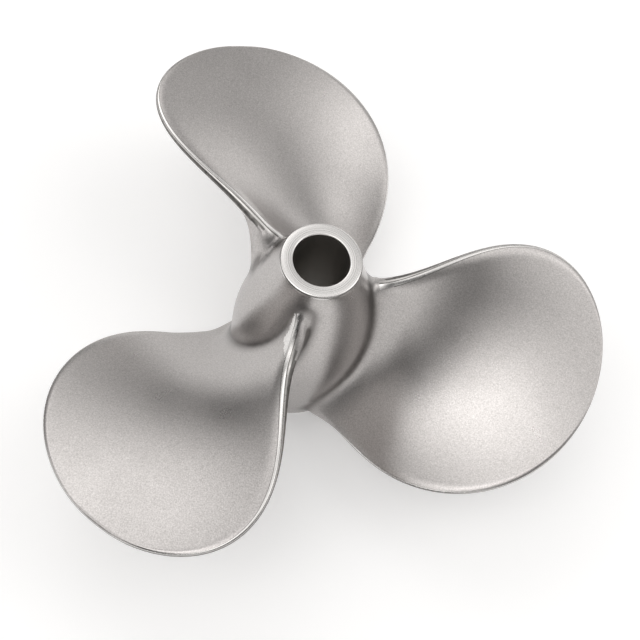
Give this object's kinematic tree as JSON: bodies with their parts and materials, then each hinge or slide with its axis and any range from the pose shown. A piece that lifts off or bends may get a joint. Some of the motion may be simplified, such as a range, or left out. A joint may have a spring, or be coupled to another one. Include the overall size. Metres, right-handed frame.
{
  "type": "small craft propeller",
  "caption": "One-piece right-handed screw propeller with wide swept blades on a barrel hub with a plain through bore.",
  "frame": {"origin": "on the shaft axis, in the plane of the hub's wide end face, which the propeller rests on", "axes": "+Z along the shaft axis, from the hub's wide end to its narrow end; the first blade points along +X"},
  "size_m": [0.3521, 0.3776, 0.162],
  "materials": {
    "cast_steel": "bead-blasted satin, turned at the hub ends, polished at the blade rims"
  },
  "bodies": {
    "root": {"propeller": "cast_steel"}
  },
  "joints": []
}
